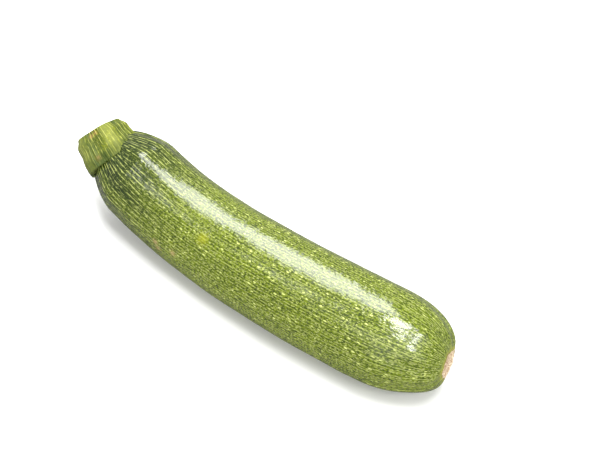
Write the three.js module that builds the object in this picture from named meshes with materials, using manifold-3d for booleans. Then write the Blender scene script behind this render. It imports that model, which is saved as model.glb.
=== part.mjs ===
// A green summer squash lying on its side, with the stub of its stem. Millimetres, +Z up,
// +X from the stem toward the blossom end, origin under the middle of the bounding box.

import * as THREE from 'three';
import { mergeVertices } from 'three/addons/utils/BufferGeometryUtils.js';
import Module from 'manifold-3d';

const wasm = await Module();
wasm.setup();

const DEGREE = Math.PI / 180;

// Centreline of the fruit: an arc seen from above, with the neck raised off the surface
const FRUIT_LENGTH = 186;
const NECK_HEADING = -10.4 * DEGREE;
const BLOSSOM_HEADING = 8.8 * DEGREE;
const NECK_LIFT = 12;
const LIFTED_SHARE = 0.42;

// The stem sits on a face that leans back, so its upper side reaches further down the shoulder
const NECK_SLANT = 18 * DEGREE;
const NECK_SLANT_TOWARD = 114 * DEGREE;
const NECK_SLANT_SHARE = 0.13;

// Girth of the fruit, which grows between two shares of the length, and how each end closes
const SHOULDER_RADIUS = 20;
const BULGE_RADIUS = 22.2;
const SHOULDER_SHARE = 0.05;
const BULGE_SHARE = 0.75;
const SHOULDER_SPAN = 20.6;
const SHOULDER_ROUNDING = 1.47;
const NECK_SHARE = 0.43;
const BLOSSOM_SPAN = 31.4;
const BLOSSOM_ROUNDING = 1.93;
const SCAR_SHARE = 0.3;

// Ribs run from the stem's ridges to the scar: five strong ones and five between them
const RIDGES = 5;
const RIB_PHASE = 20 * DEGREE;
const SHOULDER_RIB = 0.8;
const MIDDLE_RIB = 0.28;
const BLOSSOM_RIB = 0.45;
const STRONG_RIB_SHARE = 0.45;
const SHOULDER_RIB_REACH = 0.16;
const BLOSSOM_RIB_REACH = 0.12;

// Depth that the rounded underside is pressed flat where the fruit rests
const FLAT_DEPTH = 0.6;

// Stem stub: its ridges and furrows at the base, the middle and the cut end
const STEM_LENGTH = 8.6;
const STEM_OFFSET = -1.2;
const STEM_ROOT = 8;
const STEM_TURN = -7 * DEGREE;
const STEM_TILT = 8 * DEGREE;
const BASE_RIDGE = 14.6;
const BASE_FURROW = 13;
const MIDDLE_RIDGE = 13.3;
const MIDDLE_FURROW = 11.6;
const MIDDLE_HEIGHT = 4;
const FLARE_HEIGHT = -5;
const FLARE_POWER = 1.6;
const LOBE_POWER = 0.62;
const CUT_RIDGE = 11;
const CUT_FURROW = 9.6;
const CUT_SLANT = 5 * DEGREE;
const CUT_HOLLOW = 0.5;
const STEM_CLEARANCE = 0.3;

// Facets
const FRUIT_SIDES = 60;
const FRUIT_STEPS = 50;
const STEM_SIDES = 60;
const STEM_STEPS = 10;
const END_CROWDING = 0.85;
const MERGE_DISTANCE = 1e-5;

// Rings across the blossom scar: share of the scar's radius, and height along the axis
const SCAR_RELIEF = [
  [0.93, 0.45], [0.82, 0.35], [0.6, -0.35], [0.3, -0.45], [0.12, 0.1],
];
const SCAR_CENTRE_HEIGHT = 0.25;

const { smoothstep, lerp } = THREE.MathUtils;

// Share of the full girth at a distance from an end that closes over a span
function endShare(distance, span, rounding, openShare) {
  const reach = Math.min(distance / span, 1);
  return openShare + (1 - openShare) * (1 - (1 - reach) ** rounding) ** (1 / rounding);
}

function girth(s) {
  return lerp(SHOULDER_RADIUS, BULGE_RADIUS, smoothstep(s, SHOULDER_SHARE, BULGE_SHARE));
}

function ribHeight(s) {
  const shoulder = Math.exp(-((s / SHOULDER_RIB_REACH) ** 2));
  const blossom = Math.exp(-(((1 - s) / BLOSSOM_RIB_REACH) ** 2));
  return MIDDLE_RIB + (SHOULDER_RIB - MIDDLE_RIB) * shoulder + (BLOSSOM_RIB - MIDDLE_RIB) * blossom;
}

function radiusAt(s, angle) {
  const distance = s * FRUIT_LENGTH;
  const closing = endShare(distance, SHOULDER_SPAN, SHOULDER_ROUNDING, NECK_SHARE)
    * endShare(FRUIT_LENGTH - distance, BLOSSOM_SPAN, BLOSSOM_ROUNDING, SCAR_SHARE);
  const turn = RIDGES * (angle - RIB_PHASE);
  const ribs = STRONG_RIB_SHARE * Math.cos(turn) + (1 - STRONG_RIB_SHARE) * Math.cos(2 * turn);
  return girth(s) * closing + ribHeight(s) * ribs;
}

// How far a point of the neck lies down the fruit from its section's plane
function slantAt(s, angle) {
  const fade = 1 - smoothstep(s, 0, NECK_SLANT_SHARE);
  return fade * Math.tan(NECK_SLANT) * radiusAt(s, angle) * Math.cos(angle - NECK_SLANT_TOWARD);
}

// Centre, tangent, sideways and upward directions of the fruit's section at s
function sectionAt(s) {
  const bendRadius = FRUIT_LENGTH / (BLOSSOM_HEADING - NECK_HEADING);
  const heading = lerp(NECK_HEADING, BLOSSOM_HEADING, s);
  const lifted = Math.max(1 - s / LIFTED_SHARE, 0);
  const slope = (-2 * NECK_LIFT * lifted) / (LIFTED_SHARE * FRUIT_LENGTH);
  const centre = new THREE.Vector3(
    bendRadius * (Math.sin(heading) - Math.sin(NECK_HEADING)),
    bendRadius * (Math.cos(NECK_HEADING) - Math.cos(heading)),
    girth(s) - FLAT_DEPTH + NECK_LIFT * lifted ** 2,
  );
  const tangent = new THREE.Vector3(Math.cos(heading), Math.sin(heading), slope).normalize();
  const side = new THREE.Vector3(-Math.sin(heading), Math.cos(heading), 0);
  const up = tangent.clone().cross(side);
  return { centre, tangent, side, up };
}

function ring(section, radius, offset, sides) {
  const points = [];
  for (let k = 0; k < sides; k += 1) {
    const angle = (2 * Math.PI * k) / sides;
    const reach = radius(angle);
    points.push(section.centre.clone()
      .addScaledVector(section.tangent, offset(angle))
      .addScaledVector(section.side, reach * Math.cos(angle))
      .addScaledVector(section.up, reach * Math.sin(angle)));
  }
  return points;
}

// A closed skin over rings of points, ordered along the axis, with a point at each end
function skin(rings, startPoint, endPoint) {
  const sides = rings[0].length;
  const points = [startPoint, ...rings.flat(), endPoint];
  const at = (row, k) => 1 + row * sides + (k % sides);
  const last = points.length - 1;
  const faces = [];
  for (let k = 0; k < sides; k += 1) {
    faces.push(0, at(0, k + 1), at(0, k));
    faces.push(last, at(rings.length - 1, k), at(rings.length - 1, k + 1));
    for (let row = 0; row < rings.length - 1; row += 1) {
      faces.push(at(row, k), at(row, k + 1), at(row + 1, k));
      faces.push(at(row, k + 1), at(row + 1, k + 1), at(row + 1, k));
    }
  }
  const geometry = new THREE.BufferGeometry();
  geometry.setAttribute('position', new THREE.Float32BufferAttribute(
    points.flatMap((point) => point.toArray()), 3));
  geometry.setIndex(faces);
  return geometry;
}

// The fruit's steps are closer together near both ends, where it curves most
function fruitSkin() {
  const rings = [];
  for (let row = 0; row <= FRUIT_STEPS; row += 1) {
    const even = row / FRUIT_STEPS;
    const s = lerp(even, 0.5 - 0.5 * Math.cos(Math.PI * even), END_CROWDING);
    const radius = (angle) => radiusAt(s, angle);
    rings.push(ring(sectionAt(s), radius, (angle) => slantAt(s, angle), FRUIT_SIDES));
  }
  const tip = sectionAt(1);
  for (const [share, height] of SCAR_RELIEF) {
    rings.push(ring(tip, (angle) => share * radiusAt(1, angle), () => height, FRUIT_SIDES));
  }
  const scarCentre = tip.centre.clone().addScaledVector(tip.tangent, SCAR_CENTRE_HEIGHT);
  return skin(rings, sectionAt(0).centre, scarCentre);
}

// Moves every point of a closed skin outward along its normal
function grow(geometry, amount) {
  geometry.computeVertexNormals();
  const { position, normal } = geometry.attributes;
  const point = new THREE.Vector3();
  const outward = new THREE.Vector3();
  for (let k = 0; k < position.count; k += 1) {
    point.fromBufferAttribute(position, k);
    outward.fromBufferAttribute(normal, k);
    point.addScaledVector(outward, amount);
    position.setXYZ(k, point.x, point.y, point.z);
  }
  return geometry;
}

// Ridge and furrow radii of the stem at a height above the fruit's neck
function stemRadius(height, angle) {
  const flare = (1 - smoothstep(height, FLARE_HEIGHT, MIDDLE_HEIGHT)) ** FLARE_POWER;
  const mouth = smoothstep(height, MIDDLE_HEIGHT, STEM_LENGTH);
  const ridge = MIDDLE_RIDGE + (BASE_RIDGE - MIDDLE_RIDGE) * flare + (CUT_RIDGE - MIDDLE_RIDGE) * mouth;
  const furrow = MIDDLE_FURROW + (BASE_FURROW - MIDDLE_FURROW) * flare
    + (CUT_FURROW - MIDDLE_FURROW) * mouth;
  const lobe = (0.5 + 0.5 * Math.cos(RIDGES * (angle - RIB_PHASE))) ** LOBE_POWER;
  return lerp(furrow, ridge, lobe);
}

function stemSkin() {
  const neck = sectionAt(0);
  const axis = neck.tangent.clone()
    .applyAxisAngle(neck.up, STEM_TURN)
    .applyAxisAngle(neck.side, STEM_TILT);
  const side = neck.side.clone().applyAxisAngle(neck.up, STEM_TURN);
  const centre = neck.centre.clone().addScaledVector(neck.side, STEM_OFFSET);
  const section = { centre, tangent: axis, side, up: axis.clone().cross(side) };
  const rings = [];
  for (let row = 0; row <= STEM_STEPS; row += 1) {
    const height = lerp(STEM_LENGTH, -STEM_ROOT, row / STEM_STEPS);
    const slant = Math.tan(CUT_SLANT) * smoothstep(height, 0, STEM_LENGTH);
    const radius = (angle) => stemRadius(height, angle);
    const offset = (angle) => -height + slant * radius(angle) * Math.sin(angle);
    rings.push(ring(section, radius, offset, STEM_SIDES));
  }
  const cutCentre = centre.clone().addScaledVector(axis, CUT_HOLLOW - STEM_LENGTH);
  const rootCentre = centre.clone().addScaledVector(axis, STEM_ROOT);
  return skin(rings, cutCentre, rootCentre);
}

function toSolid(geometry) {
  const bare = geometry.clone();
  bare.deleteAttribute('normal');
  bare.deleteAttribute('uv');
  const merged = mergeVertices(bare, MERGE_DISTANCE);
  return new wasm.Manifold(new wasm.Mesh({
    numProp: 3,
    vertProperties: new Float32Array(merged.attributes.position.array),
    triVerts: new Uint32Array(merged.index.array),
  }));
}

function toGeometry(solid) {
  const { vertProperties, triVerts } = solid.getMesh();
  const geometry = new THREE.BufferGeometry();
  geometry.setAttribute('position', new THREE.Float32BufferAttribute(vertProperties, 3));
  geometry.setIndex(Array.from(triVerts));
  geometry.computeVertexNormals();
  return geometry;
}

// Everything below the surface that the fruit rests on
const BELOW_SIZE = 600;
const below = new THREE.BoxGeometry(BELOW_SIZE, BELOW_SIZE, BELOW_SIZE)
  .translate(0, 0, -BELOW_SIZE / 2);

const fruitGeometry = toGeometry(toSolid(fruitSkin()).subtract(toSolid(below)));
const stemGeometry = toGeometry(
  toSolid(stemSkin()).subtract(toSolid(grow(fruitSkin(), STEM_CLEARANCE))),
);

const fruit = new THREE.Mesh(fruitGeometry, new THREE.MeshStandardMaterial({
  color: 0x93a053, roughness: 0.32, metalness: 0,
}));
fruit.name = 'fruit';

const stem = new THREE.Mesh(stemGeometry, new THREE.MeshStandardMaterial({
  color: 0x9ba854, roughness: 0.6, metalness: 0,
}));
stem.name = 'stem';

const squash = new THREE.Group();
squash.add(fruit, stem);
const box = new THREE.Box3().setFromObject(squash);
const middle = box.getCenter(new THREE.Vector3());
squash.position.set(-middle.x, -middle.y, -box.min.z);
squash.updateMatrixWorld(true);

export default squash;
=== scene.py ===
# A green summer squash on a white table: speckled skin, corky blossom scar and a cut, ridged stem.
import math
import bpy
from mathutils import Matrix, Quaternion, Vector


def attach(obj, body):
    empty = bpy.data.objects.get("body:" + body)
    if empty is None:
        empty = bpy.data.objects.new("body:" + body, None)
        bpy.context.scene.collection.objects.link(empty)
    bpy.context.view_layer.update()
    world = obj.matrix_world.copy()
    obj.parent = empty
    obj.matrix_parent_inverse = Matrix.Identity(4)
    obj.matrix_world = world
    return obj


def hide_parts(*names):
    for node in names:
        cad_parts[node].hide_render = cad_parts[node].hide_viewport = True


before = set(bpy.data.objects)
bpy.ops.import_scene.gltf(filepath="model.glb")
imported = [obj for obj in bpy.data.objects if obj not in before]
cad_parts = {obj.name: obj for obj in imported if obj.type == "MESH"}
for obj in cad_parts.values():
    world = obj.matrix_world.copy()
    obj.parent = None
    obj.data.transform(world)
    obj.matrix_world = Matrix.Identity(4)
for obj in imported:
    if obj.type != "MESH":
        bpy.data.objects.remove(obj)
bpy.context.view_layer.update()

scene = bpy.context.scene
mm = 0.001
print("squash: frame loaded")


# Small helpers for node trees. A formula is written with ordinary signs and becomes Math nodes.
class Number:
    def __init__(self, tree, socket):
        self.tree = tree
        self.socket = socket

    def __add__(self, other):
        return calc(self.tree, "ADD", self, other)

    def __radd__(self, other):
        return calc(self.tree, "ADD", other, self)

    def __sub__(self, other):
        return calc(self.tree, "SUBTRACT", self, other)

    def __rsub__(self, other):
        return calc(self.tree, "SUBTRACT", other, self)

    def __mul__(self, other):
        return calc(self.tree, "MULTIPLY", self, other)

    def __rmul__(self, other):
        return calc(self.tree, "MULTIPLY", other, self)

    def __truediv__(self, other):
        return calc(self.tree, "DIVIDE", self, other)

    def __rtruediv__(self, other):
        return calc(self.tree, "DIVIDE", other, self)

    def __pow__(self, other):
        return calc(self.tree, "POWER", self, other)


def plug(tree, slot, value):                             # a link or a plain value
    if isinstance(value, Number):
        tree.links.new(value.socket, slot)
    else:
        slot.default_value = value


def calc(tree, operation, *values):                      # one Math node
    node = tree.nodes.new("ShaderNodeMath")
    node.operation = operation
    for slot, value in zip(node.inputs, values):
        plug(tree, slot, value)
    return Number(tree, node.outputs[0])


def vcalc(tree, operation, *values):                     # one Vector Math node
    node = tree.nodes.new("ShaderNodeVectorMath")
    node.operation = operation
    for slot, value in zip(node.inputs, values):
        plug(tree, slot, value)
    isNumber = operation in ("DOT_PRODUCT", "LENGTH", "DISTANCE")
    return Number(tree, node.outputs["Value" if isNumber else "Vector"])


def scaled(tree, vector, factor):
    node = tree.nodes.new("ShaderNodeVectorMath")
    node.operation = "SCALE"
    plug(tree, node.inputs[0], vector)
    plug(tree, node.inputs["Scale"], factor)
    return Number(tree, node.outputs["Vector"])


def xyz(tree, x, y, z):
    node = tree.nodes.new("ShaderNodeCombineXYZ")
    for slot, value in zip(node.inputs, (x, y, z)):
        plug(tree, slot, value)
    return Number(tree, node.outputs[0])


def split(tree, vector):
    node = tree.nodes.new("ShaderNodeSeparateXYZ")
    plug(tree, node.inputs[0], vector)
    return [Number(tree, out) for out in node.outputs]


def ramp(tree, value, fromMin, fromMax, toMin=0.0, toMax=1.0, smooth=True):
    node = tree.nodes.new("ShaderNodeMapRange")
    node.interpolation_type = "SMOOTHSTEP" if smooth else "LINEAR"
    for slot, number in zip(node.inputs, (value, fromMin, fromMax, toMin, toMax)):
        plug(tree, slot, number)
    return Number(tree, node.outputs["Result"])


def share(tree, value):                                  # kept between 0 and 1
    return ramp(tree, value, 0.0, 1.0, smooth=False)


def sine(value):
    return calc(value.tree, "SINE", value)


def cosine(value):
    return calc(value.tree, "COSINE", value)


def bell(value, reach):                                  # 1 at zero, fading over the reach
    spread = value / reach
    return calc(value.tree, "EXPONENT", spread * spread * -1.0)


def noise(tree, vector, size, detail=2.0, roughness=0.5):
    node = tree.nodes.new("ShaderNodeTexNoise")
    plug(tree, node.inputs["Vector"], vector)
    plug(tree, node.inputs["Scale"], 1.0 / size)
    plug(tree, node.inputs["Detail"], detail)
    plug(tree, node.inputs["Roughness"], roughness)
    return Number(tree, node.outputs[0])


def uneven(tree, vector, size, detail, contrast):        # noise made stronger, kept between 0 and 1
    tone = noise(tree, vector, size, detail=detail, roughness=0.55)
    return share(tree, (tone - 0.5) * contrast + 0.5)


def newTree(name, kind, inputs, outputs):                # a node group with named inputs and outputs
    tree = bpy.data.node_groups.new(name, kind)
    for label, socketType, value in inputs:
        socket = tree.interface.new_socket(name=label, in_out="INPUT", socket_type=socketType)
        if value is not None:
            socket.default_value = value
    for label, socketType in outputs:
        tree.interface.new_socket(name=label, in_out="OUTPUT", socket_type=socketType)
    entry = tree.nodes.new("NodeGroupInput")
    leave = tree.nodes.new("NodeGroupOutput")
    given = {socket.name: Number(tree, socket) for socket in entry.outputs if socket.name}
    return tree, given, leave


def storeAttribute(tree, geometry, label, value, kind="FLOAT"):
    node = tree.nodes.new("GeometryNodeStoreNamedAttribute")
    node.data_type = kind
    node.domain = "POINT"
    plug(tree, node.inputs["Geometry"], geometry)
    plug(tree, node.inputs["Name"], label)
    plug(tree, node.inputs["Value"], value)
    return Number(tree, node.outputs[0])


def sheetOfPoints(tree, rows, columns):                  # a flat grid; its X and Y run from 0 to 1
    grid = tree.nodes.new("GeometryNodeMeshGrid")
    for label, value in (("Size X", 1.0), ("Size Y", 1.0), ("Vertices X", rows), ("Vertices Y", columns)):
        plug(tree, grid.inputs[label], value)
    place = tree.nodes.new("GeometryNodeInputPosition")
    x, y, _ = split(tree, Number(tree, place.outputs[0]))
    return Number(tree, grid.outputs["Mesh"]), x + 0.5, y + 0.5


def movePoints(tree, geometry, position):
    node = tree.nodes.new("GeometryNodeSetPosition")
    plug(tree, node.inputs["Geometry"], geometry)
    plug(tree, node.inputs["Position"], position)
    return Number(tree, node.outputs[0])


def finishMesh(tree, leave, geometry, material):
    merge = tree.nodes.new("GeometryNodeMergeByDistance")
    plug(tree, merge.inputs["Geometry"], geometry)
    plug(tree, merge.inputs["Distance"], 0.02 * mm)
    smooth = tree.nodes.new("GeometryNodeSetShadeSmooth")
    realize = tree.nodes.new("GeometryNodeRealizeInstances")
    paint = tree.nodes.new("GeometryNodeSetMaterial")
    paint.inputs["Material"].default_value = material
    tree.links.new(merge.outputs[0], smooth.inputs[0])
    tree.links.new(smooth.outputs[0], realize.inputs[0])
    tree.links.new(realize.outputs[0], paint.inputs[0])
    tree.links.new(paint.outputs[0], leave.inputs["Geometry"])


def growPiece(name, tree, sizes):                        # runs a tree and keeps the plain mesh
    holder = bpy.data.objects.new(name + "Maker", bpy.data.meshes.new(name + "Seed"))
    scene.collection.objects.link(holder)
    maker = holder.modifiers.new("Maker", "NODES")
    maker.node_group = tree
    for socket in tree.interface.items_tree:
        if socket.item_type == "SOCKET" and socket.in_out == "INPUT" and socket.name in sizes:
            maker[socket.identifier] = sizes[socket.name]
    bpy.context.view_layer.update()
    depsgraph = bpy.context.evaluated_depsgraph_get()
    live = holder.evaluated_get(depsgraph)
    mesh = bpy.data.meshes.new_from_object(live, preserve_all_data_layers=True, depsgraph=depsgraph)
    holder.modifiers.remove(maker)
    bpy.data.objects.remove(holder)
    mesh.name = name
    piece = bpy.data.objects.new(name, mesh)
    scene.collection.objects.link(piece)
    print("squash:", name, "has", len(mesh.polygons), "faces")
    return piece


# Fruit. Lengths in millimetres, angles in degrees, shares of the whole from 0 to 1.
fruitShape = {
    "Length": 186.0,
    "Neck Heading": -10.4,
    "Blossom Heading": 8.8,
    "Neck Lift": 12.0,
    "Lifted Share": 0.42,
    "Neck Slant": 18.0,
    "Slant Toward": 114.0,
    "Slant Share": 0.13,
    "Shoulder Radius": 20.0,
    "Bulge Radius": 22.2,
    "Shoulder Span": 20.6,
    "Shoulder Arc": 25.5,                # along the skin, where the span is along the axis
    "Shoulder Rounding": 1.47,
    "Neck Opening": 0.43,
    "Blossom Span": 31.4,
    "Blossom Arc": 37.9,
    "Blossom Rounding": 1.93,
    "Scar Opening": 0.3,
    "Ridges": 5.0,
    "Rib Phase": 20.0,
    "Shoulder Rib": 0.8,
    "Middle Rib": 0.13,
    "Blossom Rib": 0.75,
    "Strong Rib Share": 0.45,
    "Flat Depth": 0.6,
    "Lump Size": 24.0,
    "Lump Height": 0.9,
    "Pleats": 25.0,
    "Pleat Height": 0.22,
    "Puckers": 28.0,
    "Pucker Height": 0.16,
    "Scar Lip": 0.42,
    "Scar Dish": 0.65,
    "Scar Knob": 0.5,
    "Scar Grit": 0.5,
    "Scar Tilt": 5.0,
    "Neck X": -86.331,
    "Neck Y": 7.321,
}
fruitGrid = {"rows": 341, "columns": 281}


def buildFruitTree(material):
    angles = ("Neck Heading", "Blossom Heading", "Neck Slant", "Slant Toward", "Scar Tilt", "Rib Phase")
    inputs = [("Geometry", "NodeSocketGeometry", None)]
    inputs += [(label, "NodeSocketFloat", value) for label, value in fruitShape.items()]
    tree, given, leave = newTree("Ribbed fruit", "GeometryNodeTree", inputs,
                                 [("Geometry", "NodeSocketGeometry")])
    for label in angles:
        given[label] = calc(tree, "RADIANS", given[label])
    length, bulge = given["Length"], given["Bulge Radius"]
    mesh, along, around = sheetOfPoints(tree, fruitGrid["rows"], fruitGrid["columns"])
    angle = (1.0 - around) * (2 * math.pi)

    # Distance over the skin: the neck's face, the shoulder, the body, the blossom end, the scar
    neckFace = given["Neck Opening"] * given["Shoulder Radius"]
    scarRadius = given["Scar Opening"] * bulge
    body = length - given["Shoulder Span"] - given["Blossom Span"]
    skinLength = given["Shoulder Arc"] + body + given["Blossom Arc"]
    reach = along * (neckFace + skinLength + scarRadius) - neckFace
    inNeck = share(tree, reach * -1.0 / neckFace)
    inScar = share(tree, (reach - skinLength) / scarRadius)
    neckTurn = share(tree, reach / given["Shoulder Arc"]) * (math.pi / 2)
    tipTurn = share(tree, (skinLength - reach) / given["Blossom Arc"]) * (math.pi / 2)
    neckPower = 2.0 / given["Shoulder Rounding"]
    tipPower = 2.0 / given["Blossom Rounding"]
    neckCos = calc(tree, "MAXIMUM", cosine(neckTurn), 0.0)
    tipCos = calc(tree, "MAXIMUM", cosine(tipTurn), 0.0)
    middle = share(tree, (reach - given["Shoulder Arc"]) / body) * body
    distance = given["Shoulder Span"] * (1.0 - neckCos ** neckPower) + middle \
        + given["Blossom Span"] * tipCos ** tipPower
    place = distance / length                                    # 0 at the neck, 1 at the scar
    closing = (given["Neck Opening"] + (1.0 - given["Neck Opening"]) * sine(neckTurn) ** neckPower) \
        * (given["Scar Opening"] + (1.0 - given["Scar Opening"]) * sine(tipTurn) ** tipPower)
    girth = ramp(tree, place, 0.05, 0.75, given["Shoulder Radius"], bulge)

    # A pattern that follows the skin: round the fruit and along it, in millimetres
    inside = (1.0 - inNeck) * (1.0 - inScar)
    fromNeck = calc(tree, "MAXIMUM", reach, 0.0)
    fromScar = calc(tree, "MAXIMUM", skinLength - reach, 0.0)
    drawn = fromNeck - 10.0 * (1.0 - calc(tree, "EXPONENT", fromNeck / -16.0)) \
        - 4.0 * calc(tree, "EXPONENT", fromScar / -9.0)
    ring = 20.0 * inside
    skin = xyz(tree, ring * cosine(angle), ring * sine(angle), drawn)

    # Ribs, pleats under the stem, a pucker round the scar and low lumps
    turn = given["Ridges"] * (angle - given["Rib Phase"])
    ribs = given["Strong Rib Share"] * cosine(turn) \
        + (1.0 - given["Strong Rib Share"]) * cosine(turn * 2.0)
    ribHeight = given["Middle Rib"] \
        + (given["Shoulder Rib"] - given["Middle Rib"]) * bell(place, 0.16) \
        + (given["Blossom Rib"] - given["Middle Rib"]) * bell(1.0 - place, 0.12)
    wander = noise(tree, skin, 14.0) * 3.0
    pleats = cosine(angle * given["Pleats"] + wander) * bell(fromNeck - 6.0, 12.0)
    pucker = cosine(angle * given["Puckers"] + wander * 2.0) * bell(fromScar, 4.0)
    lumps = (noise(tree, skin, given["Lump Size"]) - 0.5) * given["Lump Height"]
    fine = pleats * given["Pleat Height"] + pucker * given["Pucker Height"]
    radius = (girth * closing + ribHeight * ribs + fine + lumps) * inside

    # Relief across the scar: a lip, a shallow dish and a small knob where the flower sat
    grit = noise(tree, skin, 2.6, detail=3.0) - 0.5
    lip = bell(inScar - 0.1, 0.11) * given["Scar Lip"] * share(tree, (reach - skinLength) + 1.0)
    dish = ramp(tree, inScar, 0.12, 0.55) * given["Scar Dish"]
    knob = bell(1.0 - inScar, 0.24) * given["Scar Knob"]
    relief = lip - dish + knob + grit * given["Scar Grit"] * ramp(tree, inScar, 0.02, 0.2)
    slant = ramp(tree, place, 0.0, given["Slant Share"], 1.0, 0.0) \
        * calc(tree, "TANGENT", given["Neck Slant"]) * radius * cosine(angle - given["Slant Toward"])
    tilt = ramp(tree, place, 0.93, 1.0) \
        * calc(tree, "TANGENT", given["Scar Tilt"]) * radius * sine(angle)

    # Centreline: an arc seen from above, with the neck raised off the table
    bend = length / (given["Blossom Heading"] - given["Neck Heading"])
    heading = given["Neck Heading"] + (given["Blossom Heading"] - given["Neck Heading"]) * place
    lifted = calc(tree, "MAXIMUM", 1.0 - place / given["Lifted Share"], 0.0)
    slope = given["Neck Lift"] * lifted * -2.0 / (given["Lifted Share"] * length)
    centre = xyz(tree, given["Neck X"] + bend * (sine(heading) - sine(given["Neck Heading"])),
                 given["Neck Y"] + bend * (cosine(given["Neck Heading"]) - cosine(heading)),
                 girth - given["Flat Depth"] + given["Neck Lift"] * lifted * lifted)
    tangent = vcalc(tree, "NORMALIZE", xyz(tree, cosine(heading), sine(heading), slope))
    side = xyz(tree, sine(heading) * -1.0, cosine(heading), 0.0)
    up = vcalc(tree, "CROSS_PRODUCT", tangent, side)
    spot = vcalc(tree, "ADD", centre, scaled(tree, side, radius * cosine(angle)))
    spot = vcalc(tree, "ADD", spot, scaled(tree, up, radius * sine(angle)))
    spot = vcalc(tree, "ADD", spot, scaled(tree, tangent, slant + relief - tilt))
    x, y, z = split(tree, spot)
    spot = xyz(tree, x, y, calc(tree, "MAXIMUM", z, 0.0))          # flat where it rests

    for label, value, kind in (("skin", skin, "FLOAT_VECTOR"), ("along", reach / skinLength, "FLOAT"),
                               ("rib", ribs, "FLOAT"), ("fromScar", fromScar, "FLOAT"),
                               ("inScar", inScar, "FLOAT")):
        mesh = storeAttribute(tree, mesh, label, value, kind)
    mesh = movePoints(tree, mesh, scaled(tree, spot, mm))
    finishMesh(tree, leave, mesh, material)
    return tree


# Shared shader groups. Each puts out only masks and values that change over the surface.
def buildSpeckleGroup():                                 # round or drawn-out specks of several sizes
    tree, given, leave = newTree("Specks", "ShaderNodeTree", [
        ("Vector", "NodeSocketVector", None), ("Spacing", "NodeSocketFloat", 2.0),
        ("Radius", "NodeSocketFloat", 0.3), ("Softness", "NodeSocketFloat", 0.1),
        ("Amount", "NodeSocketFloat", 0.8)], [("Mask", "NodeSocketFloat")])
    cells = tree.nodes.new("ShaderNodeTexVoronoi")
    cells.inputs["Randomness"].default_value = 0.55
    plug(tree, cells.inputs["Vector"], given["Vector"])
    plug(tree, cells.inputs["Scale"], 1.0 / given["Spacing"])
    distance = Number(tree, cells.outputs["Distance"])
    red, green, _ = split(tree, Number(tree, cells.outputs["Color"]))
    reach = given["Radius"] * (0.65 + 0.7 * red)
    mask = ramp(tree, distance, reach + given["Softness"], reach - given["Softness"])
    present = ramp(tree, given["Amount"] - green, 0.0, 0.08)
    plug(tree, leave.inputs["Mask"], mask * present)
    return tree


def buildMottleGroup():                                  # uneven tone, from 0 to 1
    tree, given, leave = newTree("Mottle", "ShaderNodeTree", [
        ("Vector", "NodeSocketVector", None), ("Size", "NodeSocketFloat", 1.0),
        ("Detail", "NodeSocketFloat", 3.0), ("Contrast", "NodeSocketFloat", 1.0)],
        [("Value", "NodeSocketFloat")])
    tone = uneven(tree, given["Vector"], given["Size"], given["Detail"], given["Contrast"])
    plug(tree, leave.inputs["Value"], tone)
    return tree


def buildSpotGroup():                                    # one soft, ragged mark at a place
    tree, given, leave = newTree("Spot", "ShaderNodeTree", [
        ("Vector", "NodeSocketVector", None), ("Place", "NodeSocketVector", None),
        ("Reach", "NodeSocketFloat", 1.5)], [("Mask", "NodeSocketFloat")])
    ragged = (noise(tree, given["Vector"], 0.8) - 0.5) * 1.4
    away = vcalc(tree, "DISTANCE", given["Vector"], given["Place"]) + ragged
    plug(tree, leave.inputs["Mask"], bell(away, given["Reach"]))
    return tree


def buildDashGroup():                                    # rows of dashes that run along the piece
    tree, given, leave = newTree("Dash rows", "ShaderNodeTree", [
        ("Vector", "NodeSocketVector", None), ("Rows", "NodeSocketFloat", 60.0),
        ("Squeeze", "NodeSocketFloat", 1.0)], [("Mask", "NodeSocketFloat")])
    x, y, z = split(tree, given["Vector"])
    z = z * given["Squeeze"]                             # more squeeze makes shorter dashes
    wander = uneven(tree, xyz(tree, x, y, z * 0.3), 5.0, 3.0, 1.5) * 4.0
    line = ramp(tree, cosine(calc(tree, "ARCTAN2", y, x) * given["Rows"] + wander), 0.45, 1.05)
    beads = uneven(tree, xyz(tree, x, y, z * 0.32), 0.8, 1.0, 6.0)
    plug(tree, leave.inputs["Mask"], line * beads)
    return tree


speckleGroup = buildSpeckleGroup()
mottleGroup = buildMottleGroup()
spotGroup = buildSpotGroup()
dashGroup = buildDashGroup()


def useGroup(tree, group, **values):
    node = tree.nodes.new("ShaderNodeGroup")
    node.node_tree = group
    for label, value in values.items():
        plug(tree, node.inputs[label], value)
    return Number(tree, node.outputs[0])


def specks(tree, vector, spacing, radius, softness, amount):
    return useGroup(tree, speckleGroup, Vector=vector, Spacing=spacing, Radius=radius,
                    Softness=softness, Amount=amount)


def mottle(tree, vector, size, detail=3.0, contrast=1.0):
    return useGroup(tree, mottleGroup, Vector=vector, Size=size, Detail=detail, Contrast=contrast)


def spots(tree, vector, places, reach):                  # the strongest of several marks
    marks = [useGroup(tree, spotGroup, Vector=vector, Place=place, Reach=reach) for place in places]
    strongest = marks[0]
    for mark in marks[1:]:
        strongest = calc(tree, "MAXIMUM", strongest, mark)
    return strongest


def dashRows(tree, vector, rows, squeeze=1.0):
    return useGroup(tree, dashGroup, Vector=vector, Rows=rows, Squeeze=squeeze)


def readAttribute(tree, label, output="Fac"):
    node = tree.nodes.new("ShaderNodeAttribute")
    node.attribute_name = label
    return Number(tree, node.outputs[output])


def linear(red, green, blue):                            # a colour given as on screen, 0 to 255
    def channel(value):
        value /= 255.0
        return value / 12.92 if value <= 0.04045 else ((value + 0.055) / 1.055) ** 2.4
    return channel(red), channel(green), channel(blue), 1.0


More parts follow.
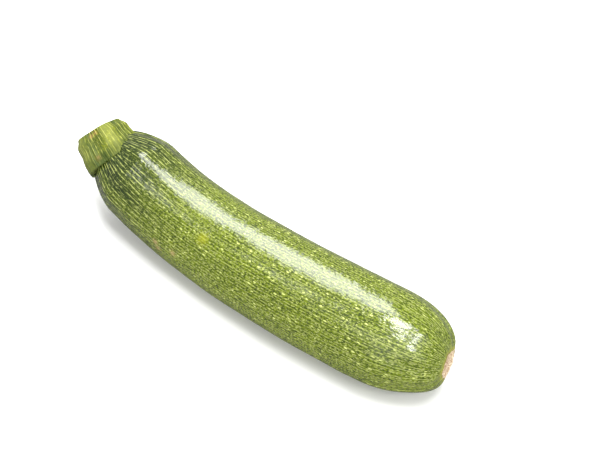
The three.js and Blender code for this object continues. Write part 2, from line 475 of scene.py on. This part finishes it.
def blend(tree, amount, first, second):
    node = tree.nodes.new("ShaderNodeMix")
    node.data_type = "RGBA"
    plug(tree, node.inputs["Factor"], amount)
    plug(tree, node.inputs[6], first)
    plug(tree, node.inputs[7], second)
    return Number(tree, node.outputs[2])


def bump(tree, height, distance):
    node = tree.nodes.new("ShaderNodeBump")
    plug(tree, node.inputs["Height"], height)
    node.inputs["Distance"].default_value = distance
    return Number(tree, node.outputs[0])


def newMaterial(name):
    material = bpy.data.materials.new(name)
    material.use_nodes = True
    return material, material.node_tree, material.node_tree.nodes["Principled BSDF"]


skinLook = {
    "deepGreen": linear(28, 44, 0),
    "midGreen": linear(91, 107, 16),
    "paleGreen": linear(112, 127, 23),
    "fleck": linear(208, 216, 124),
    "darkStripeAndShade": linear(34, 50, 6),
    "blossomGreen": linear(97, 114, 12),
    "stretch": 0.36,                     # below 1 draws the flecks out along the fruit
    "fleckSpacing": 1.20,
    "fleckRadius": 0.19,
    "fineSpacing": 0.66,
    "fineRadius": 0.25,
    "rows": 66.0,                        # rows of long dashes round the fruit
    "fineRows": 104.0,
    "fineSqueeze": 2.2,
    "netSize": 0.40,
    "netStrength": 0.8,
    "patchSize": 4.5,
    "patchStrength": 0.09,
    "broadSize": 17.0,
    "streakSize": 3.2,
    "roughness": 0.12,
    "gloss": 0.66,
    "bumpHeight": 0.10,
    "yellowSpots": ((-11.2, 16.6, 65.0),),
    "yellowReach": 2.6,
    "scrapes": ((-19.6, 3.8, 44.6), (-20.0, 1.1, 46.4), (-19.3, 5.1, 54.4)),
    "scrapeReach": 1.3,
    "yellow": linear(166, 168, 30),
    "yellowGreen": linear(164, 166, 56),
    "scrape": linear(172, 140, 96),
}
scarLook = {
    "cork": linear(240, 226, 192),
    "corkDark": linear(166, 128, 94),
    "rim": linear(112, 88, 50),
    "corkSize": 2.0,
    "rimWidth": 0.7,
}


def makeSkinMaterial():
    material, tree, shader = newMaterial("Waxy skin")
    skin = readAttribute(tree, "skin", "Vector")
    along = readAttribute(tree, "along")
    rib = readAttribute(tree, "rib")
    fromScar = readAttribute(tree, "fromScar")
    inScar = readAttribute(tree, "inScar")
    x, y, z = split(tree, skin)
    elsewhere = vcalc(tree, "ADD", skin, (9.0, 4.0, 2.0))
    shake = xyz(tree, noise(tree, skin, 1.1), noise(tree, elsewhere, 1.1), 0.5)
    drawn = xyz(tree, x, y, z * skinLook["stretch"])     # flecks longer than wide
    drawn = vcalc(tree, "ADD", drawn, scaled(tree, shake, 0.7))
    shifted = vcalc(tree, "ADD", drawn, (7.3, 2.1, 4.7))
    nearNeck = ramp(tree, along, 0.36, 0.03)
    nearTip = ramp(tree, along, 0.70, 0.96)
    furrow = ramp(tree, rib, 0.35, -0.7)

    # Flecks in two sizes, fine and long dashes in rows, a dark net and broad patches
    big = specks(tree, drawn, skinLook["fleckSpacing"], skinLook["fleckRadius"], 0.05, 0.80)
    small = specks(tree, shifted, skinLook["fineSpacing"], skinLook["fineRadius"], 0.07, 0.95)
    grain = dashRows(tree, skin, skinLook["fineRows"], skinLook["fineSqueeze"])
    lines = dashRows(tree, skin, skinLook["rows"])
    net = mottle(tree, drawn, skinLook["netSize"], detail=0.5, contrast=8.0)
    patchy = mottle(tree, xyz(tree, x, y, z * 0.35), skinLook["patchSize"], contrast=2.6)
    broad = mottle(tree, skin, skinLook["broadSize"], contrast=1.1)
    streak = mottle(tree, xyz(tree, x, y, z * 0.05), skinLook["streakSize"], detail=1.0, contrast=3.6)

    # Mid green, yellower toward the blossom end, with dark stripes toward the stem and painted shade in
    # the crease where the stem sits
    base = blend(tree, broad, skinLook["midGreen"], skinLook["paleGreen"])
    base = blend(tree, nearTip * 0.8, base, skinLook["blossomGreen"])
    base = blend(tree, patchy * skinLook["patchStrength"], base, skinLook["deepGreen"])
    # Painted shade: a narrow band round the stem, where it meets the fruit, mixed into the dark stripe
    # colour
    creaseShade = ramp(tree, along, 0.075, 0.03)
    dark = share(tree, nearNeck * (0.62 + 0.35 * furrow + 0.38 * streak) + 0.10 * furrow + 0.5 * creaseShade)
    base = blend(tree, dark, base, skinLook["darkStripeAndShade"])
    base = blend(tree, net * skinLook["netStrength"], base, skinLook["deepGreen"])
    onNeck = ramp(tree, along, 0.42, 0.08)
    scattered = calc(tree, "MAXIMUM", big * 0.85, calc(tree, "MAXIMUM", small * 0.45, grain * 0.50))
    scattered = scattered * (1.0 - onNeck * 0.6)
    lines = lines * (0.22 + 0.60 * onNeck + 0.20 * nearTip)
    flecks = calc(tree, "MAXIMUM", scattered, lines) * (1.0 - 0.30 * dark)
    colour = blend(tree, flecks, base, skinLook["fleck"])

    # Marks: a yellow spot and a few dry scrapes
    yellowed = spots(tree, skin, skinLook["yellowSpots"], skinLook["yellowReach"])
    scraped = spots(tree, skin, skinLook["scrapes"], skinLook["scrapeReach"])
    colour = blend(tree, yellowed * 0.45, colour, skinLook["yellow"])
    colour = blend(tree, scraped * 0.6, colour, skinLook["scrape"])

    # The corky scar and the yellow edge round it
    cork = mottle(tree, skin, scarLook["corkSize"], detail=4.0, contrast=4.5)
    worn = share(tree, cork - 0.45 * bell(1.0 - inScar, 0.45))
    corkColour = blend(tree, worn, scarLook["corkDark"], scarLook["cork"])
    edge = bell(fromScar, 2.4) * 0.55
    colour = blend(tree, edge, colour, skinLook["yellowGreen"])
    rim = bell(fromScar - 0.1, scarLook["rimWidth"]) * mottle(tree, skin, 1.6, contrast=3.0)
    colour = blend(tree, rim * 0.8, colour, scarLook["rim"])
    isScar = ramp(tree, inScar, 0.03, 0.10)
    colour = blend(tree, isScar, colour, corkColour)

    plug(tree, shader.inputs["Base Color"], colour)
    rough = skinLook["roughness"] + 0.07 * net + 0.07 * flecks + 0.5 * isScar
    plug(tree, shader.inputs["Roughness"], rough)
    shader.inputs["Specular IOR Level"].default_value = skinLook["gloss"]
    fine = mottle(tree, skin, 1.2, detail=1.5, contrast=2.0)
    pitted = mottle(tree, skin, 2.8, detail=1.0, contrast=2.0)
    height = fine * 0.45 + pitted * 0.5 + flecks * 0.15 + isScar * cork * 2.0
    plug(tree, shader.inputs["Normal"], bump(tree, height, skinLook["bumpHeight"] * mm))
    return material


skinMaterial = makeSkinMaterial()
squashSkin = growPiece("squashSkin", buildFruitTree(skinMaterial), fruitShape)
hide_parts("fruit")
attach(squashSkin, "root")


# Stem. The same units; heights are measured along the stem from the fruit's neck.
stemShape = {
    "Length": 8.6,
    "Depth": 8.0,
    "Base Ridge": 14.6,
    "Base Furrow": 13.0,
    "Middle Ridge": 13.3,
    "Middle Furrow": 11.6,
    "Middle Height": 4.0,
    "Flare Height": -5.0,
    "Flare Power": 1.6,
    "Lobe Power": 0.62,
    "Cut Ridge": 11.0,
    "Cut Furrow": 9.6,
    "Cut Slant": 5.0,
    "Cut Hollow": 0.6,
    "Edge Round": 0.9,
    "Ridges": 5.0,
    "Rib Phase": 20.0,
    "Fibre Size": 0.9,
    "Fibre Height": 0.88,
    "Lump Size": 4.5,
    "Lump Height": 0.7,
    "Cut Grit": 0.35,
}
stemPlace = {"offset": -1.2, "turn": -7.0, "tilt": 8.0}
stemGrid = {"rows": 151, "columns": 241, "sideFrom": 0.04, "edgeFrom": 0.64, "faceFrom": 0.70}


def neckFrame():                                         # centre and directions of the neck's section
    heading = math.radians(fruitShape["Neck Heading"])
    slope = -2.0 * fruitShape["Neck Lift"] / (fruitShape["Lifted Share"] * fruitShape["Length"])
    height = fruitShape["Shoulder Radius"] - fruitShape["Flat Depth"] + fruitShape["Neck Lift"]
    centre = Vector((fruitShape["Neck X"], fruitShape["Neck Y"], height))
    tangent = Vector((math.cos(heading), math.sin(heading), slope)).normalized()
    side = Vector((-math.sin(heading), math.cos(heading), 0.0))
    return centre, tangent, side, tangent.cross(side)


def stemFrame():                                         # the stem turns and tilts on the neck
    centre, tangent, side, up = neckFrame()
    turn = Quaternion(up, math.radians(stemPlace["turn"]))
    axis = Quaternion(side, math.radians(stemPlace["tilt"])) @ (turn @ tangent)
    stemSide = turn @ side
    return centre + side * stemPlace["offset"], axis, stemSide, axis.cross(stemSide)


def buildStemTree(material):
    inputs = [("Geometry", "NodeSocketGeometry", None)]
    inputs += [(label, "NodeSocketFloat", value) for label, value in stemShape.items()]
    inputs += [(label, "NodeSocketVector", None) for label in ("Root", "Axis", "Side", "Up")]
    tree, given, leave = newTree("Ridged stem", "GeometryNodeTree", inputs,
                                 [("Geometry", "NodeSocketGeometry")])
    phase = calc(tree, "RADIANS", given["Rib Phase"])
    cutSlant = calc(tree, "TANGENT", calc(tree, "RADIANS", given["Cut Slant"]))
    mesh, along, around = sheetOfPoints(tree, stemGrid["rows"], stemGrid["columns"])
    angle = around * (2 * math.pi)

    # The way over the stem: the root's hidden face, the side, the rounded edge, the cut face
    sideFrom, edgeFrom, faceFrom = stemGrid["sideFrom"], stemGrid["edgeFrom"], stemGrid["faceFrom"]
    onRoot = share(tree, along / sideFrom)
    onSide = share(tree, (along - sideFrom) / (edgeFrom - sideFrom))
    onEdge = share(tree, (along - edgeFrom) / (faceFrom - edgeFrom)) * (math.pi / 2)
    onFace = share(tree, (along - faceFrom) / (1.0 - faceFrom))
    height = onSide * (given["Length"] + given["Depth"] - given["Edge Round"]) - given["Depth"]
    flare = ramp(tree, height, given["Flare Height"], given["Middle Height"], 1.0, 0.0)
    flare = flare ** given["Flare Power"]
    mouth = ramp(tree, height, given["Middle Height"], given["Length"])
    ridge = given["Middle Ridge"] + (given["Base Ridge"] - given["Middle Ridge"]) * flare \
        + (given["Cut Ridge"] - given["Middle Ridge"]) * mouth
    furrow = given["Middle Furrow"] + (given["Base Furrow"] - given["Middle Furrow"]) * flare \
        + (given["Cut Furrow"] - given["Middle Furrow"]) * mouth
    lobe = (0.5 + 0.5 * cosine(given["Ridges"] * (angle - phase))) ** given["Lobe Power"]
    ring = 12.0 * onRoot * (1.0 - onFace)
    skin = xyz(tree, ring * cosine(angle), ring * sine(angle), height)
    drawn = xyz(tree, ring * cosine(angle), ring * sine(angle), height * 0.12)
    fibres = (noise(tree, drawn, given["Fibre Size"]) - 0.5) * given["Fibre Height"]
    lumps = (noise(tree, skin, given["Lump Size"]) - 0.5) * given["Lump Height"]
    wall = furrow + (ridge - furrow) * lobe + fibres * (1.0 - onFace) + lumps
    radius = (wall - given["Edge Round"] * (1.0 - cosine(onEdge))) * onRoot * (1.0 - onFace)

    # The cut face dips toward the middle and is a little rough
    dip = given["Cut Hollow"] * (ramp(tree, onFace, 0.0, 1.0) + bell(1.0 - onFace, 0.75) - 1.0)
    grit = (noise(tree, skin, 1.3, detail=3.0) - 0.5) * given["Cut Grit"] * ramp(tree, onFace, 0.0, 0.08)
    top = height + given["Edge Round"] * sine(onEdge) - dip - grit
    slant = cutSlant * ramp(tree, height, 0.0, given["Length"]) * radius * sine(angle)
    spot = vcalc(tree, "ADD", given["Root"], scaled(tree, given["Axis"], slant - top))
    spot = vcalc(tree, "ADD", spot, scaled(tree, given["Side"], radius * cosine(angle)))
    spot = vcalc(tree, "ADD", spot, scaled(tree, given["Up"], radius * sine(angle)))

    for label, value, kind in (("skin", skin, "FLOAT_VECTOR"), ("lobe", lobe, "FLOAT"),
                               ("onFace", onFace, "FLOAT"), ("height", height, "FLOAT")):
        mesh = storeAttribute(tree, mesh, label, value, kind)
    mesh = movePoints(tree, mesh, scaled(tree, spot, mm))
    finishMesh(tree, leave, mesh, material)
    return tree


stemLook = {
    "green": linear(126, 134, 26),
    "pale": linear(206, 208, 100),
    "dark": linear(52, 70, 14),
    "greyAndShade": linear(86, 98, 52),
    "tan": linear(186, 140, 84),
    "scrapes": ((-5.3, 10.8, 6.6), (-7.6, 9.4, 6.2), (-8.6, 8.4, -4.8), (9.4, -6.8, 1.5)),
    "scrapeReach": 1.1,
    "cutFace": linear(196, 196, 124),
    "cutDark": linear(140, 128, 68),
    "rows": 46.0,
    "squeeze": 0.8,
    "roughness": 0.48,
    "gloss": 0.3,
    "bumpHeight": 0.22,
}


def makeStemMaterial():
    material, tree, shader = newMaterial("Fibrous stem")
    skin = readAttribute(tree, "skin", "Vector")
    lobe = readAttribute(tree, "lobe")
    onFace = readAttribute(tree, "onFace")
    height = readAttribute(tree, "height")
    x, y, z = split(tree, skin)
    streak = mottle(tree, xyz(tree, x, y, z * 0.16), 0.8, detail=2.0, contrast=4.0)
    patch = mottle(tree, skin, 4.0, contrast=2.4)
    dashes = dashRows(tree, skin, stemLook["rows"], stemLook["squeeze"])
    grain = mottle(tree, xyz(tree, x, y, z * 0.5), 0.45, detail=1.0, contrast=6.0)
    colour = blend(tree, patch * 0.5, stemLook["green"], stemLook["dark"])
    colour = blend(tree, ramp(tree, lobe, 0.55, 0.0) * 0.40, colour, stemLook["greyAndShade"])
    colour = blend(tree, streak * 0.85, colour, stemLook["dark"])
    colour = blend(tree, grain * 0.6, colour, stemLook["dark"])
    colour = blend(tree, ramp(tree, lobe, 0.6, 1.0) * 0.20, colour, stemLook["pale"])
    colour = blend(tree, dashes * 0.55, colour, stemLook["pale"])
    farSideShade = ramp(tree, y * 0.02 - x * 0.08, 0.72, 0.96)   # painted shade: greyer on the far side
    colour = blend(tree, farSideShade * 0.35, colour, stemLook["greyAndShade"])
    scraped = spots(tree, skin, stemLook["scrapes"], stemLook["scrapeReach"])
    colour = blend(tree, scraped * 0.4, colour, stemLook["tan"])
    # Painted shade: the stem darker toward its foot, where it meets the fruit
    footShade = ramp(tree, height, -1.0, -6.0)
    colour = blend(tree, footShade * 0.5, colour, stemLook["dark"])
    face = mottle(tree, skin, 1.6, detail=4.0, contrast=2.4)
    strands = bell(onFace - 0.32, 0.10) * specks(tree, skin, 2.4, 0.4, 0.1, 0.9)
    faceColour = blend(tree, face * 0.5, stemLook["cutFace"], stemLook["cutDark"])
    faceColour = blend(tree, strands * 0.7, faceColour, stemLook["dark"])
    onCut = ramp(tree, onFace, 0.0, 0.03)
    colour = blend(tree, onCut, colour, faceColour)
    plug(tree, shader.inputs["Base Color"], colour)
    plug(tree, shader.inputs["Roughness"], stemLook["roughness"] + 0.2 * patch + 0.15 * onCut)
    shader.inputs["Specular IOR Level"].default_value = stemLook["gloss"]
    relief = streak * 0.8 + dashes * 0.5 + face * onCut
    plug(tree, shader.inputs["Normal"], bump(tree, relief, stemLook["bumpHeight"] * mm))
    return material


stemMaterial = makeStemMaterial()
stemRoot, stemAxis, stemSide, stemUp = stemFrame()
stemSizes = dict(stemShape, Root=tuple(stemRoot), Axis=tuple(stemAxis),
                 Side=tuple(stemSide), Up=tuple(stemUp))
stemStub = growPiece("stemStub", buildStemTree(stemMaterial), stemSizes)
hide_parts("stem")
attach(stemStub, "root")


# Table, camera and light
stageLook = {"tone": (0.96, 0.96, 0.96, 1.0), "mirrored": (0.12, 0.12, 0.12, 1.0),
             "roughness": 0.9, "size": 12.0}


def buildTable():
    half = stageLook["size"] / 2
    mesh = bpy.data.meshes.new("table")
    corners = [(-half, -half, 0), (half, -half, 0), (half, half, 0), (-half, half, 0)]
    mesh.from_pydata(corners, [], [(0, 1, 2, 3)])
    table = bpy.data.objects.new("table", mesh)
    scene.collection.objects.link(table)
    material, tree, shader = newMaterial("Matt table")
    path = tree.nodes.new("ShaderNodeLightPath")         # dimmer in reflections than to the eye
    seen = Number(tree, path.outputs["Is Glossy Ray"])
    plug(tree, shader.inputs["Base Color"], blend(tree, seen, stageLook["tone"], stageLook["mirrored"]))
    shader.inputs["Roughness"].default_value = stageLook["roughness"]
    mesh.materials.append(material)


cameraPlace = {"azimuth": 35.637, "elevation": 54.0, "distance": 747.0, "lens": 100.0,
               "target": (5.32, 28.17, 20.0)}


def viewBack(azimuth, elevation):                        # from the target toward a viewer
    a, e = math.radians(azimuth), math.radians(elevation)
    return Vector((math.sin(a) * math.cos(e), -math.cos(a) * math.cos(e), math.sin(e)))


def buildCamera():
    camera = bpy.data.cameras.new("camera")
    camera.lens = cameraPlace["lens"]
    camera.sensor_width = 36.0
    camera.clip_end = 20.0
    holder = bpy.data.objects.new("camera", camera)
    scene.collection.objects.link(holder)
    back = viewBack(cameraPlace["azimuth"], cameraPlace["elevation"])
    holder.location = (Vector(cameraPlace["target"]) + back * cameraPlace["distance"]) * mm
    holder.rotation_euler = (-back).to_track_quat("-Z", "Y").to_euler()
    scene.camera = holder


# Each lamp stands this far from the origin and faces it; "from" is its azimuth and elevation
lampDistance = 1.5
lamps = {
    "overhead": {"from": (-142.0, 56.0), "size": (0.80, 1.24), "power": 28.0},
    "side": {"from": (74.0, 80.0), "size": (0.44, 0.60), "power": 16.5},
    "corner": {"from": (-44.0, 61.0), "size": (0.24, 0.24), "power": 0.7},
    "low": {"from": (72.0, 54.0), "size": (0.24, 0.17), "power": 3.2},
    "front": {"from": (40.0, 42.0), "size": (2.40, 1.60), "power": 14.0},
}
worldGlow = 0.44


def buildLamps():
    for name, lamp in lamps.items():
        light = bpy.data.lights.new(name, "AREA")
        light.shape = "RECTANGLE"
        light.size, light.size_y = lamp["size"]
        light.energy = lamp["power"]
        holder = bpy.data.objects.new(name, light)
        scene.collection.objects.link(holder)
        back = viewBack(*lamp["from"])
        holder.location = back * lampDistance
        holder.rotation_euler = (-back).to_track_quat("-Z", "Y").to_euler()
    world = bpy.data.worlds.new("studio")
    scene.world = world
    world.use_nodes = True
    world.node_tree.nodes["Background"].inputs["Color"].default_value = (1.0, 1.0, 1.0, 1.0)
    world.node_tree.nodes["Background"].inputs["Strength"].default_value = worldGlow


buildTable()
buildCamera()
buildLamps()
scene.view_settings.view_transform = "Standard"
print("squash: table, camera and", len(lamps), "lamps are in place")
